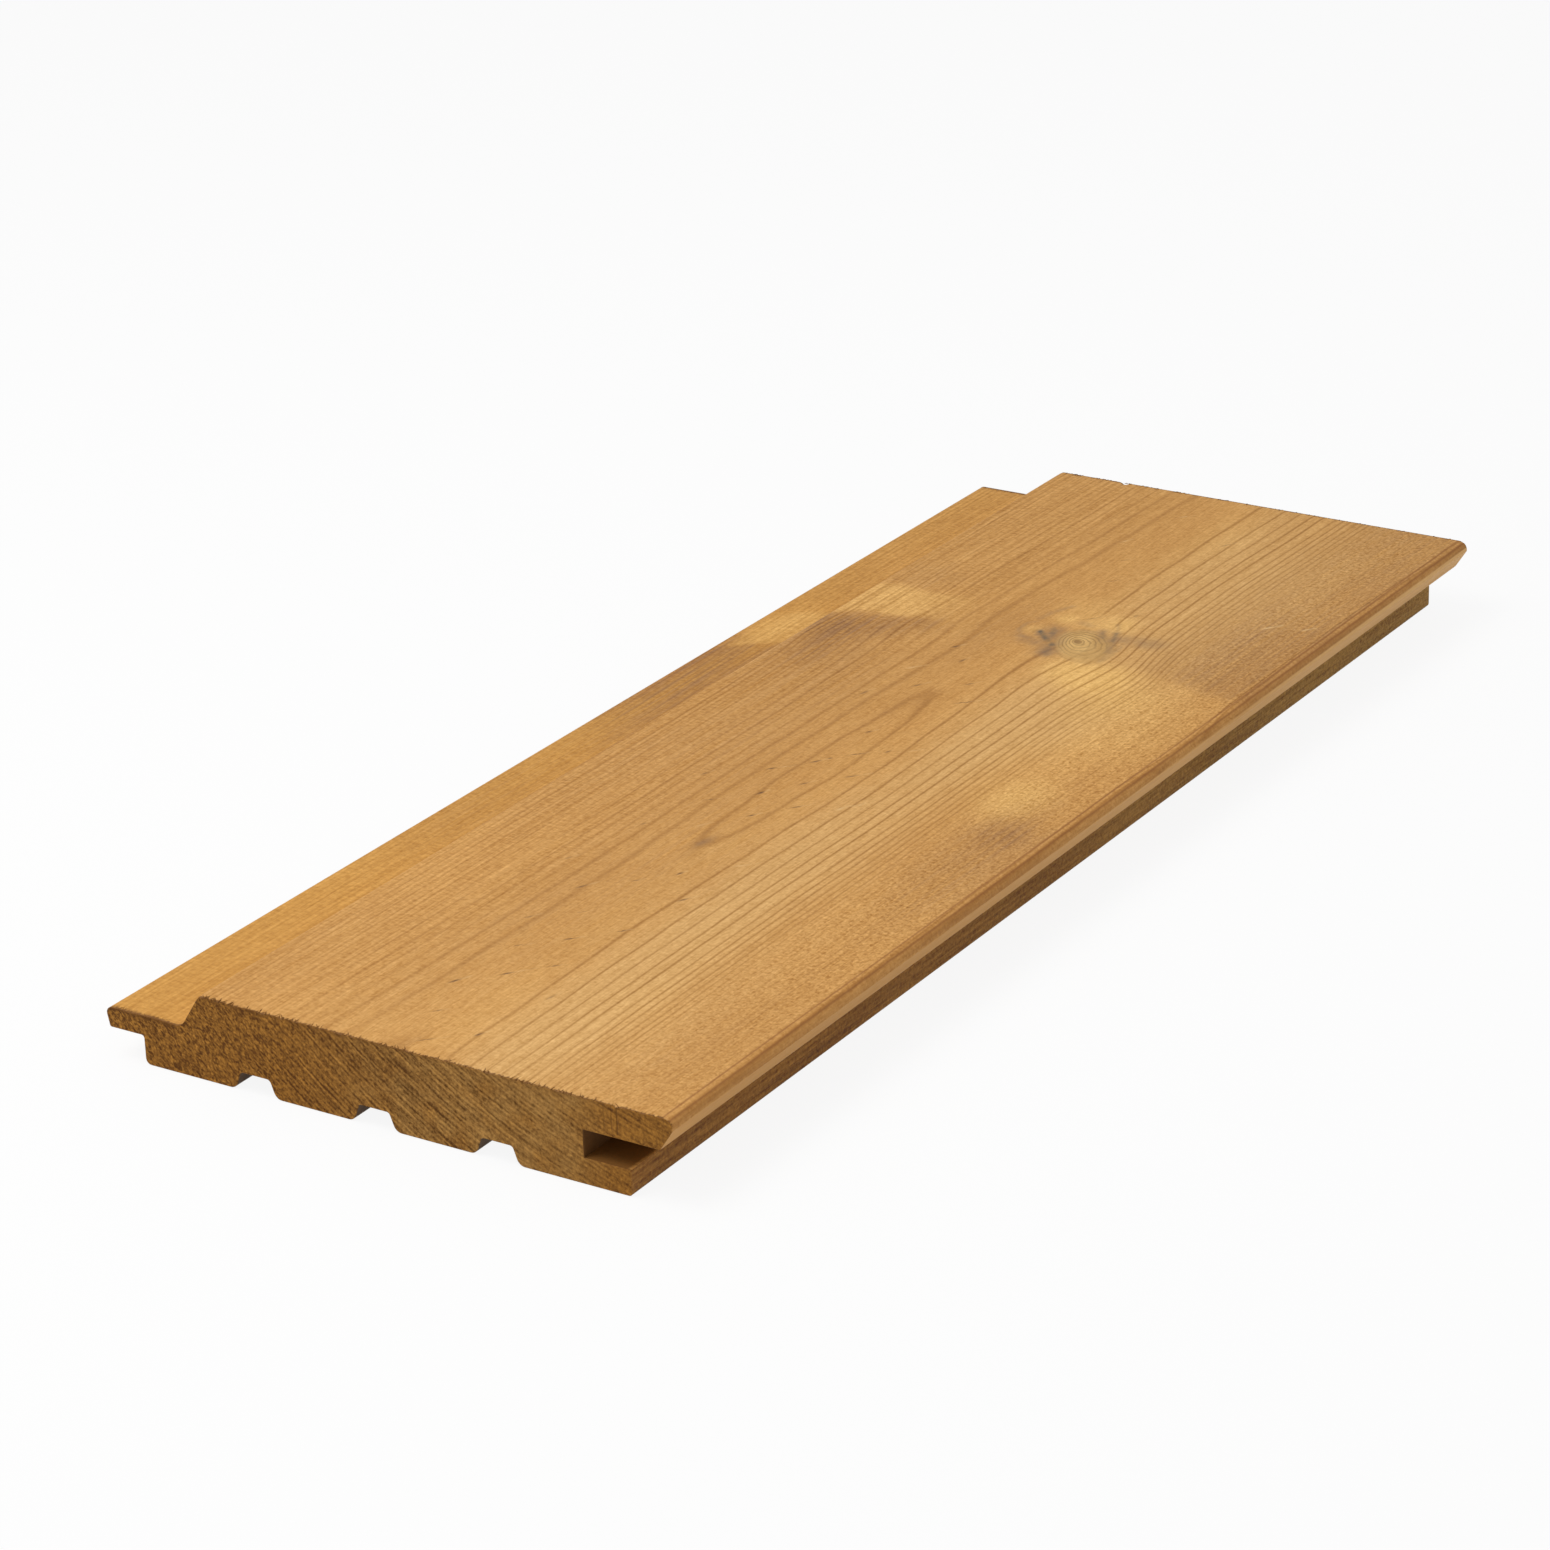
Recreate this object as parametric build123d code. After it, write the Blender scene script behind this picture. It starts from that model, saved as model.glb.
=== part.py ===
from build123d import *
import os
from math import radians, tan

# Tongue-and-groove cladding board of heat-treated softwood, moulded from one plank.
# It lies on its back with its face up: X runs across it, from the tongue to the nose,
# Y runs along the grain and Z is up. The origin is the centre of its footprint.
# Sizes are in millimetres and angles in degrees.

# The stock
board_length = 360.0
board_thickness = 19.0
overall_width = 140.0

# The tongue, whose tip leans back under its rounded upper edge
tongue_underside = 6.5
tongue_thickness = 4.5
tongue_reach = 9.5
tongue_tip_lean = 12.0
tongue_tip_radius = 1.4
tongue_arris_radius = 0.4
tongue_root_radius = 0.5

# The sloped shoulder between the tongue and the face, which leaves a flat for the nails.
# The nose is undercut at the same slope.
shoulder_setback = 10.3
bevel_angle = 33.0
shoulder_foot_radius = 2.5
shoulder_edge_radius = 0.8

# The rounded nose, with a narrow upright flat between its rounding and its undercut
nose_radius = 2.2
nose_flat = 0.25
nose_heel_radius = 0.5
lip_toe_radius = 0.3

# The fit with the next board, whose tongue enters this board's slot
gap_under_tongue = 0.7
gap_over_tongue = 0.9
gap_at_tip = 1.9
gap_behind_lip = 0.5
shadow_gap = 4.4

# The edges of the back
side_edge_radius = 1.3
lip_edge_radius = 0.8

# The relief grooves along the back, with splayed walls and rounded mouths
groove_count = 3
groove_depth = 4.0
groove_roof_width = 7.4
groove_wall_splay = 20.0
groove_roof_radius = 0.9
groove_mouth_radius = 2.0
groove_margin_at_tongue = 28.6
groove_margin_at_slot = 31.9


def run(height, angle):
    """Distance across the board that a wall, leaning by angle from upright, covers."""
    return height * tan(radians(angle))


# Heights above the back
tongue_top = tongue_underside + tongue_thickness
slot_floor = tongue_underside - gap_under_tongue
slot_roof = tongue_top + gap_over_tongue
nose_heel = board_thickness - nose_radius - nose_flat

# Places across the board, from the tongue's tip to the nose
tongue_tip = -overall_width / 2
tongue_side = tongue_tip + tongue_reach
shoulder_foot = tongue_side + shoulder_setback
shoulder_edge = shoulder_foot + run(board_thickness - tongue_top, bevel_angle)
nose_tip = overall_width / 2
lip_toe = nose_tip - run(nose_heel - slot_roof, bevel_angle)

# The lower lip stops where the next board's side comes, with its shoulder shadow_gap from the nose
next_shoulder = gap_behind_lip + shoulder_setback + run(nose_heel - tongue_top, bevel_angle)
lip_end = nose_tip - (next_shoulder - shadow_gap)
slot_back = lip_end - (tongue_reach - gap_behind_lip + gap_at_tip)

# Rounding a corner sharper than square takes a little off the tongue's reach, so the
# corner that is rounded stands that much further out, and the tip is where it should be.
tip_corner = tongue_tip - tongue_tip_radius * (tan(radians(45 + tongue_tip_lean / 2)) - 1)
tip_foot = tip_corner + run(tongue_thickness, tongue_tip_lean)


def groove_corners(centre):
    """Corners of one relief groove, from its right mouth to its left, with their radii."""
    roof_half = groove_roof_width / 2
    mouth_half = roof_half + run(groove_depth, groove_wall_splay)
    return [
        (centre + mouth_half, 0, groove_mouth_radius),
        (centre + roof_half, groove_depth, groove_roof_radius),
        (centre - roof_half, groove_depth, groove_roof_radius),
        (centre - mouth_half, 0, groove_mouth_radius),
    ]


def outline_corners():
    """Corners of the section as (across, up, radius), clockwise from the tongue's tip."""
    tongue_and_shoulder = [
        (tip_corner, tongue_top, tongue_tip_radius),
        (shoulder_foot, tongue_top, shoulder_foot_radius),
        (shoulder_edge, board_thickness, shoulder_edge_radius),
    ]
    nose = [
        (nose_tip, board_thickness, nose_radius),
        (nose_tip, nose_heel, nose_heel_radius),
        (lip_toe, slot_roof, lip_toe_radius),
    ]
    slot = [
        (slot_back, slot_roof, 0),
        (slot_back, slot_floor, 0),
    ]
    lower_lip = [
        (lip_end, slot_floor, lip_toe_radius),
        (lip_end, 0, lip_edge_radius),
    ]
    first_groove = tongue_side + groove_margin_at_tongue
    last_groove = lip_end - groove_margin_at_slot
    pitch = (last_groove - first_groove) / (groove_count - 1)
    grooves = []
    for number in range(groove_count):
        grooves += groove_corners(last_groove - number * pitch)
    side = [
        (tongue_side, 0, side_edge_radius),
        (tongue_side, tongue_underside, tongue_root_radius),
        (tip_foot, tongue_underside, tongue_arris_radius),
    ]
    return tongue_and_shoulder + nose + slot + lower_lip + grooves + side


corners = outline_corners()
outline = FilletPolyline(
    *[(across, up) for across, up, radius in corners],
    radius=[radius for across, up, radius in corners],
    close=True,
)
section = Plane.XZ * make_face(outline.edges())
cladding_board = extrude(section, amount=board_length / 2, both=True)
cladding_board.label = "cladding_board"

os.makedirs("parts", exist_ok=True)
export_step(cladding_board, "parts/cladding_board.step")
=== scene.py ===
from collections import namedtuple
from math import atan2, ceil, cos, hypot, pi, radians, sin, tan

import bmesh
import bpy
import numpy as np
from mathutils import Matrix, Vector
from mathutils.geometry import delaunay_2d_cdt


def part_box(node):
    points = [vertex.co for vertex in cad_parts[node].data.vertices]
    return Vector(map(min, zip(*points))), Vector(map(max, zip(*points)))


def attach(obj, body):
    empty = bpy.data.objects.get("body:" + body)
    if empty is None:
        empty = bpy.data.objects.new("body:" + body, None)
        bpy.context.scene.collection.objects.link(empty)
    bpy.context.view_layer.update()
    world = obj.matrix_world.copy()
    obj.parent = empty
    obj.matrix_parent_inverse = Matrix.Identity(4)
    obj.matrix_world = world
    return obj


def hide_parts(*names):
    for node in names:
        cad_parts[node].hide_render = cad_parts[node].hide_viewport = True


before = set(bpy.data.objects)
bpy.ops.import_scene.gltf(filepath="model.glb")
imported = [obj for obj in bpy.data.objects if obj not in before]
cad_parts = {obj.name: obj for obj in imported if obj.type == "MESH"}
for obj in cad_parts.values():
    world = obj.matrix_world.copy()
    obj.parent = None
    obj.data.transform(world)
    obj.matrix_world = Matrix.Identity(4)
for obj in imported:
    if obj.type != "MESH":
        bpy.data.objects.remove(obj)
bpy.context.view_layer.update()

# The board is drawn in millimetres and scaled to metres when its mesh is made. Places on
# it are given from its own edges: across is measured from the face's edge at the tongue's
# side, along from the near sawn end, and up from the flat back.
MM = 0.001
NODE = "cladding_board"
BOX_LOW, BOX_HIGH = (np.array(corner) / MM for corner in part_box(NODE))
LENGTH = BOX_HIGH[1] - BOX_LOW[1]
THICKNESS = BOX_HIGH[2] - BOX_LOW[2]
FACE_FROM_TIP = 25.2
FACE_EDGE = BOX_LOW[0] + FACE_FROM_TIP
NEAR_END = BOX_LOW[1]

# The moulded section, as in the frame
TONGUE_UNDERSIDE = 6.5
TONGUE_TOP = 11.0
TONGUE_REACH = 9.5
TONGUE_TIP_LEAN = 12.0
TONGUE_TIP_RADIUS = 1.4
TONGUE_ARRIS_RADIUS = 0.4
TONGUE_ROOT_RADIUS = 0.5
SHOULDER_SETBACK = 10.3
SHOULDER_FOOT_RADIUS = 2.5
SHOULDER_EDGE_RADIUS = 0.8
BEVEL_ANGLE = 33.0
NOSE_RADIUS = 2.2
NOSE_FLAT = 0.25
NOSE_HEEL_RADIUS = 0.5
SLOT_FLOOR = 5.8
SLOT_ROOF = 11.9
SLOT_DEPTH = 10.9
LIP_SETBACK = 10.004
LIP_TOE_RADIUS = 0.3
LIP_EDGE_RADIUS = 0.8
SIDE_EDGE_RADIUS = 1.3
GROOVE_COUNT = 3
GROOVE_DEPTH = 4.0
GROOVE_ROOF = 7.4
GROOVE_SPLAY = 20.0
GROOVE_ROOF_RADIUS = 0.9
GROOVE_MOUTH_RADIUS = 2.0
GROOVE_FROM_SIDE = 28.6
GROOVE_FROM_LIP = 31.9

# The growth rings, as (radius, darkness, width of the dark latewood). They are centred on
# a pith below the back, which wanders along the board, and they aren't quite the same on
# its two sides. Many of the radii, and most values of the pith line, its depth and the push
# of the knot, are rounded results of a least squares fit to lines traced on the photo.
INNER_RINGS = tuple((radius, 0.5, 0.2) for radius in np.arange(2.0, 29.0, 2.2))
OUTERMOST = tuple((radius, 0.22, 0.24) for radius in np.arange(74.7, 101.0, 1.4))
RIGHT_RINGS = INNER_RINGS + (
    (29.82, 0.6, 0.11), (31.99, 0.8, 0.15), (34.48, 1.0, 0.16), (36.73, 0.85, 0.17),
    (38.92, 1.0, 0.2), (40.74, 1.1, 0.22), (43.06, 0.8, 0.21), (44.57, 0.95, 0.21),
    (45.9, 0.8, 0.22), (47.44, 0.7, 0.22), (48.7, 0.7, 0.2), (49.87, 0.72, 0.2),
    (51.3, 0.45, 0.2), (52.1, 0.3, 0.2), (53.7, 0.22, 0.2), (54.6, 0.2, 0.2), (56.0, 0.1, 0.2),
    (57.4, 0.16, 0.2), (59.0, 0.2, 0.2), (60.1, 0.12, 0.2), (61.9, 0.34, 0.25),
    (63.3, 0.4, 0.25), (64.7, 0.1, 0.2), (66.0, 0.16, 0.2), (68.0, 0.1, 0.2),
    (69.6, 0.15, 0.2), (71.1, 0.95, 0.27), (72.0, 0.95, 0.27), (73.3, 0.5, 0.25),
) + OUTERMOST
LEFT_RINGS = INNER_RINGS + (
    (29.82, 0.6, 0.11), (31.79, 0.5, 0.26), (34.1, 0.55, 0.26), (36.2, 0.35, 0.22),
    (38.11, 0.42, 0.25), (39.76, 0.7, 0.26), (42.33, 0.6, 0.26), (43.79, 0.36, 0.24),
    (45.18, 0.3, 0.22), (46.84, 0.38, 0.24), (48.23, 0.5, 0.24), (49.02, 0.3, 0.2),
    (50.37, 0.5, 0.22), (51.42, 0.3, 0.2), (52.72, 0.5, 0.24), (54.04, 0.75, 0.26),
    (55.63, 0.3, 0.22), (57.32, 0.4, 0.24), (59.1, 0.25, 0.24), (60.9, 0.25, 0.24),
    (62.6, 0.2, 0.24), (64.2, 0.25, 0.24), (65.9, 0.2, 0.24), (67.3, 0.25, 0.24),
    (68.9, 0.2, 0.24), (70.4, 0.2, 0.24), (71.7, 0.22, 0.24), (73.2, 0.2, 0.24),
) + OUTERMOST

# The line over the pith, where the rings of the right and of the left are counted from, and
# how deep the pith lies below the face, each at places along the board
CENTRE_ALONG = (0, 25, 50, 80, 110, 140, 165, 190, 215, 235, 255, 270, 285, 305, 330, 360)
CENTRE_RIGHT = (49.7, 49.5, 49.2, 49.0, 48.5, 48.0, 47.7, 47.7, 47.7, 47.6, 47.6, 47.3, 47.1,
                47.3, 48.0, 48.7)
CENTRE_LEFT = (48.2, 48.3, 48.5, 48.5, 48.9, 49.4, 49.4, 48.9, 48.0, 47.0, 46.9, 47.0, 47.1,
               47.3, 47.6, 48.0)
DEPTH_ALONG = (0, 15, 40, 85, 110, 130, 160, 190, 210, 230, 262, 280, 310, 360)
PITH_DEPTH = (29.8, 29.98, 30.08, 30.21, 29.86, 29.5, 29.2, 29.55, 29.83, 30.45, 30.31,
              30.02, 30.31, 30.55)

# How the knot pushes the rings aside, as (distance, place along at the pith, lean towards
# the near end with each millimetre out from the pith, length, reach)
PUSH_RIGHT = (3.31, 267.6, 0.86, 18.1, 35.2)
PUSH_LEFT = (1.6, 270.4, 0.92, 12.0, 24.7)

# The knot is cut aslant, so it is an ellipse whose long way is turned from the grain, and
# its heart lies off its middle. Its place is the heart's, and its shift is the middle's
# place from the heart, in half sizes. Its rings are drawn by a wave that goes through this
# many radians from the heart to the rim.
KNOT_ACROSS, KNOT_ALONG = 61.8, 255.3
KNOT_TURN = 37.0
KNOT_HALF_LONG, KNOT_HALF_SHORT = 10.8, 7.2
KNOT_SHIFT = (0.31, 0.20)
KNOT_WAVE = 42.0

# Broad patches of the face and tongue, as (across, along, half across, half along, turn in
# degrees, strength)
PALE_PATCHES = (
    (72, 35, 12, 75, 0, 1.0), (88, 25, 12, 70, 0, 0.40), (74, 130, 11, 60, 0, 0.65),
    (74, 205, 13, 40, 0, 0.9), (72, 300, 14, 70, 0, 0.75), (91, 290, 14, 75, 0, 0.62),
    (35, 20, 14, 40, 0, 0.15), (64, 125, 6, 40, 0, 0.35), (65, 325, 7, 45, 0, 0.25),
    (87, 213, 7, 22, 0, 0.45),
)
HONEY_PATCHES = (
    (68, 239, 6, 8, 0, 0.75), (78, 236, 8, 10, -12, 1.1), (87, 226, 8, 13, -20, 0.55),
    (98, 215, 15, 20, 0, 0.27), (97, 165, 8, 12, 0, 0.6), (88, 180, 10, 26, 0, 0.15),
    (52.5, 267, 2.6, 3.2, 0, 0.5), (67, 268.5, 3.5, 6, 10, 0.75), (61, 268, 4, 6, 0, 0.35),
    (48.5, 257.5, 2.6, 3.2, 0, 0.45), (54, 274, 7, 9, 0, 0.25), (60, 330, 8, 40, 0, 0.15),
    (54, 75, 6, 85, 0, 0.12),
)
SMOKY_PATCHES = (
    (3, 239, 7, 10, 30, 0.30), (8, 228, 10, 17, 20, 0.33), (15, 243, 8, 8, 30, 0.42),
    (24, 250, 5, 7, 30, 0.32), (104, 130, 10, 34, 0, 0.32), (103, 148, 9, 8, 0, 0.22),
    (20, 190, 26, 55, 0, 0.20), (40, 100, 22, 60, 0, 0.16), (-24, 215, 3, 26, 0, 0.2),
    (41, 255, 7, 22, 0, 0.18), (16, 310, 22, 50, 0, 0.06), (62, 110, 20, 70, 0, 0.04),
    (-16, 125, 14, 38, 0, 0.20), (6, 125, 9, 38, 0, 0.10), (24, 32, 34, 34, 0, 0.05),
    (104, 32, 12, 42, 0, 0.11), (8, 277, 9, 9, 20, 0.16), (86, 125, 8, 38, 0, 0.06),
    (6, 212, 9, 18, 0, 0.07), (-16, 278, 14, 26, 0, 0.06), (-16, 32, 14, 40, 0, 0.05),
    (6, 32, 8, 36, 0, 0.05),
)

# Places beside the knot where the rings fade out, in the same form
RING_GAPS = ((59.5, 266.5, 3.2, 7.5, 0, 0.95), (65.7, 264.0, 1.8, 4.5, 0, 0.9))

# Stains round the knot and at the tips of the cut ring, as strokes from one place to
# another, each (across, along), with a half width and a strength
KNOT_STROKES = (
    ((57.8, 250.6), (54.6, 253.2), 1.4, 0.86), ((54.8, 253.0), (51.0, 257.0), 1.4, 0.80),
    ((53.8, 257.0), (53.0, 260.2), 1.5, 0.7), ((59.4, 244.4), (56.6, 249.8), 1.6, 0.62),
    ((59.2, 247.6), (58.8, 248.6), 1.1, 0.6), ((50.6, 251.6), (48.0, 252.6), 1.3, 0.55),
    ((48.0, 252.6), (45.6, 256.2), 0.7, 0.42), ((45.6, 256.2), (45.5, 260.6), 0.55, 0.40),
    ((45.5, 260.6), (47.0, 262.4), 0.5, 0.30), ((51.4, 254.4), (51.0, 256.0), 0.8, 0.45),
    ((54.3, 258.6), (53.4, 261.6), 0.9, 0.45), ((46.8, 264.5), (47.4, 269.6), 0.9, 0.34),
    ((47.4, 269.6), (49.8, 275.0), 0.8, 0.36), ((66.2, 260.2), (64.2, 264.0), 1.2, 0.68),
    ((69.4, 259.0), (67.8, 264.0), 1.2, 0.72), ((72.0, 252.0), (69.4, 259.8), 0.9, 0.5),
    ((72.6, 245.8), (72.3, 252.0), 0.7, 0.20), ((73.4, 254.0), (70.6, 264.0), 0.6, 0.34),
    ((57.2, 266.6), (59.8, 265.6), 1.2, 0.25), ((59.0, 262.4), (64.0, 262.4), 0.6, 0.20),
    ((47.6, 111.8), (48.8, 115.4), 1.1, 0.38), ((49.4, -1.0), (51.0, 7.0), 0.8, 0.12),
    ((50.6, 251.0), (57.2, 249.6), 2.6, 0.46), ((68.6, 262.6), (65.4, 269.6), 0.5, 0.34),
    ((58.6, 246.2), (53.6, 259.8), 3.0, 0.60), ((69.0, 260.4), (79.0, 262.0), 3.2, 0.40),
)

# Resin canals that the planer opened, as (along, across, strength): below zero is light
RESIN_MARKS = (
    (31, 41.6, 1.0), (82, 38, 0.8), (64, 37, 0.6), (155.5, 39.3, 1.0), (204, 34, 0.7),
    (18, 46.7, 0.7), (39, 49, 0.9), (6, 52.5, 0.7), (59, 50.8, 0.9), (51.5, 43.5, 0.7),
    (71, 45.1, 0.6), (90, 46.4, 0.6), (46.5, 55.4, 0.7), (13, 60.4, 0.9), (67.4, 58.2, 0.9),
    (86.5, 60.8, 0.8), (97.5, 52.7, 0.9), (131, 49.5, 0.9), (139.5, 55.7, 0.8),
    (142.6, 44.5, 1.1), (163.5, 45.8, 0.9), (151.5, 50.2, 0.7), (171.5, 51.8, 0.8),
    (160, 57.4, 0.7), (184, 47.3, 0.8), (176, 57.2, 0.7), (209.5, 57.6, 1.2),
    (213.5, 42.5, 0.7), (220, 53, 0.6), (232, 44, 0.8), (239, 38, 1.0), (134, 36.4, 0.7),
    (146, 27.5, 0.6), (93, 27, 0.5), (309, 45.5, 0.6), (276.5, 66.4, 0.5), (34, 63.3, 0.5),
    (143, 64.7, -1.0), (147, 67.5, -0.8), (222.5, 35.7, -0.9), (107, 62, -0.7),
    (179, 62, -0.7), (321, 39.3, -0.8), (343.5, 44, -0.8), (284, 98, -1.8), (287, 106.5, -1.6),
    (121, 42.5, -0.5), (270, 57.8, 0.4), (116, 31, 0.5), (295, 50, 0.5), (330, 63, 0.4),
)

# Half sizes of a resin mark, how many of them it is drawn over, and what the mesh stores
# where no mark is near
MARK_HALF_ALONG = 1.15
MARK_HALF_ACROSS = 0.42
MARK_REACH = 3.4
MARK_AWAY = 9

# Torn places along the near top arris, as (across, depth), and the chip in the far one
END_NICKS = ((5, 0.5), (11, 0.35), (16, 0.45), (21, 0.5), (38, 0.3), (55, 0.35), (61, 0.25),
             (71, 0.35), (86, 0.3), (102, 0.7), (108, 0.25))
FAR_CHIP_ACROSS = 18.5

# Centre of the arcs that the saw's teeth left in the ends, and how far apart the arcs are
SAW_ACROSS, SAW_UP = 158.6, 176.0
SAW_PITCH = 1.06

# How far apart the planer's marks are along the face
CUTTER_PITCH = 2.7

# How far apart the outline's points on an arc are, and the points inside a sawn end
ARC_STEP = 0.45
CAP_STEP = 0.85

# How far the arris of a sawn end is taken off
ARRIS = 0.16

# Where the sections of the mesh lie closer together, because of the knot
DENSE_FROM, DENSE_TO = 240, 280

# The angle in degrees from which an edge is shaded as sharp
SHARP_ANGLE = 38

# The slivers of wood along the top arrises of the sawn ends, as (place along, the way
# inwards, number, first place across, width, height)
SLIVER_ROWS = (
    (NEAR_END, 1, 90, 1, 110, THICKNESS),
    (NEAR_END, 1, 26, -23, 14, TONGUE_TOP),
    (NEAR_END + LENGTH, -1, 60, 1, 110, THICKNESS),
)

# Where the random draws start
BOARD_SEED = 7
SLIVER_SEED = 11

# The photo's camera, solved from the board's straight edges. Its place is in metres and its
# turns are in degrees.
CAMERA_PLACE = (0.53162, -0.85056, 0.43337)
CAMERA_HEADING = 33.0
CAMERA_TILT = 22.89
CAMERA_ROLL = 1.945
CAMERA_LENS = 111.0
SENSOR_WIDTH = 36.0

# The floor's half size and how far it lies below the board, in metres, and the share of
# plain white in how it is seen
FLOOR_HALF = 8.0
FLOOR_DROP = 0.1 * MM
FLOOR_WHITENESS = 0.90


# Small tools for curves and patches

def smoothstep(low, high, value):
    t = np.clip((value - low) / (high - low), 0, 1)
    return t * t * (3 - 2 * t)


def curve_through(at, knots, values):
    """A smooth curve through values at knots, level beyond its ends."""
    knots, values = np.array(knots, float), np.array(values, float)
    slope = np.gradient(values, knots)
    at = np.clip(at, knots[0], knots[-1])
    k = np.clip(np.searchsorted(knots, at) - 1, 0, len(knots) - 2)
    width = knots[k + 1] - knots[k]
    t = (at - knots[k]) / width
    rise = t * t * (3 - 2 * t)
    bend = t * (1 - t) ** 2 * slope[k] - t * t * (1 - t) * slope[k + 1]
    return values[k] * (1 - rise) + values[k + 1] * rise + bend * width


def patches(across, along, table):
    """Soft elliptical spots added up."""
    total = np.zeros_like(across)
    for x, y, half_x, half_y, turn, strength in table:
        c, s = cos(radians(turn)), sin(radians(turn))
        a = ((across - x) * c + (along - y) * s) / half_x
        b = ((along - y) * c - (across - x) * s) / half_y
        total += strength * np.exp(-(a * a + b * b) ** 1.3)
    return total


def strokes(across, along, table):
    """Soft strokes, the strongest at each place."""
    total = np.zeros_like(across)
    for start, end, half, strength in table:
        start, step = np.array(start, float), np.subtract(end, start)
        share = ((across - start[0]) * step[0] + (along - start[1]) * step[1]) / (step @ step)
        share = np.clip(share, 0, 1)
        distance = np.hypot(across - start[0] - share * step[0], along - start[1] - share * step[1])
        total = np.maximum(total, strength * np.exp(-((distance / half) ** 2)))
    return total


# Section outline

def lean(height, angle):
    """How far a wall that leans by angle from upright goes sideways over height."""
    return height * tan(radians(angle))


def section_corners():
    """Corners of the section as (across, up, radius), clockwise from the tongue's tip."""
    side = BOX_LOW[0] + TONGUE_REACH
    foot = side + SHOULDER_SETBACK
    edge = foot + lean(THICKNESS - TONGUE_TOP, BEVEL_ANGLE)
    nose = BOX_HIGH[0]
    heel = THICKNESS - NOSE_RADIUS - NOSE_FLAT
    toe = nose - lean(heel - SLOT_ROOF, BEVEL_ANGLE)
    lip = nose - LIP_SETBACK
    slot_back = lip - SLOT_DEPTH
    tip = BOX_LOW[0] - TONGUE_TIP_RADIUS * (tan(radians(45 + TONGUE_TIP_LEAN / 2)) - 1)
    tip_foot = tip + lean(TONGUE_TOP - TONGUE_UNDERSIDE, TONGUE_TIP_LEAN)
    roof = GROOVE_ROOF / 2
    mouth = roof + lean(GROOVE_DEPTH, GROOVE_SPLAY)
    first, last = side + GROOVE_FROM_SIDE, lip - GROOVE_FROM_LIP
    corners = [
        (tip, TONGUE_TOP, TONGUE_TIP_RADIUS),
        (foot, TONGUE_TOP, SHOULDER_FOOT_RADIUS),
        (edge, THICKNESS, SHOULDER_EDGE_RADIUS),
        (nose, THICKNESS, NOSE_RADIUS),
        (nose, heel, NOSE_HEEL_RADIUS),
        (toe, SLOT_ROOF, LIP_TOE_RADIUS),
        (slot_back, SLOT_ROOF, 0),
        (slot_back, SLOT_FLOOR, 0),
        (lip, SLOT_FLOOR, LIP_TOE_RADIUS),
        (lip, 0, LIP_EDGE_RADIUS),
    ]
    for centre in np.linspace(last, first, GROOVE_COUNT):
        corners += [
            (centre + mouth, 0, GROOVE_MOUTH_RADIUS),
            (centre + roof, GROOVE_DEPTH, GROOVE_ROOF_RADIUS),
            (centre - roof, GROOVE_DEPTH, GROOVE_ROOF_RADIUS),
            (centre - mouth, 0, GROOVE_MOUTH_RADIUS),
        ]
    corners += [
        (side, 0, SIDE_EDGE_RADIUS),
        (side, TONGUE_UNDERSIDE, TONGUE_ROOT_RADIUS),
        (tip_foot, TONGUE_UNDERSIDE, TONGUE_ARRIS_RADIUS),
    ]
    return corners


def rounded_corner(before, corner, after, step):
    """Points along the arc that rounds one corner, or the corner itself where it is sharp."""
    here, radius = np.array(corner[:2]), corner[2]
    if radius == 0:
        return [here]
    back = np.array(before[:2]) - here
    ahead = np.array(after[:2]) - here
    back /= hypot(*back)
    ahead /= hypot(*ahead)
    half_angle = np.arccos(np.clip(back @ ahead, -1, 1)) / 2
    middle = (back + ahead) / hypot(*(back + ahead))
    centre = here + middle * radius / sin(half_angle)
    start = here + back * radius / tan(half_angle) - centre
    end = here + ahead * radius / tan(half_angle) - centre
    first = atan2(start[1], start[0])
    turn = (atan2(end[1], end[0]) - first + pi) % (2 * pi) - pi
    count = max(2, ceil(radius * abs(turn) / step))
    angles = [first + turn * k / count for k in range(count + 1)]
    return [centre + radius * np.array((cos(a), sin(a))) for a in angles]


def spacing(a, b):
    """How far apart the points of a straight stretch are: closest where it shows most."""
    up = (a[1] + b[1]) / 2
    if up > THICKNESS - 0.01:
        return 0.6
    if up > SLOT_ROOF or abs(up - TONGUE_TOP) < 0.01:
        return 1.0
    return 2.0


def outline():
    """The section's outline as points, clockwise, dense enough to carry its relief."""
    corners = section_corners()
    arcs = []
    for k, corner in enumerate(corners):
        after = corners[(k + 1) % len(corners)]
        arcs.append(rounded_corner(corners[k - 1], corner, after, ARC_STEP))
    points = []
    for k, arc in enumerate(arcs):
        points += arc
        start, end = arc[-1], arcs[(k + 1) % len(arcs)][0]
        count = max(1, round(hypot(*(end - start)) / spacing(start, end)))
        points += [start + (end - start) * j / count for j in range(1, count)]
    return np.array(points)


def outward(points):
    """Unit normals of a clockwise outline, pointing out of the wood."""
    along = np.roll(points, -1, 0) - np.roll(points, 1, 0)
    normal = np.stack([-along[:, 1], along[:, 0]], 1)
    return normal / np.linalg.norm(normal, axis=1)[:, None]


# Relief

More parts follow.
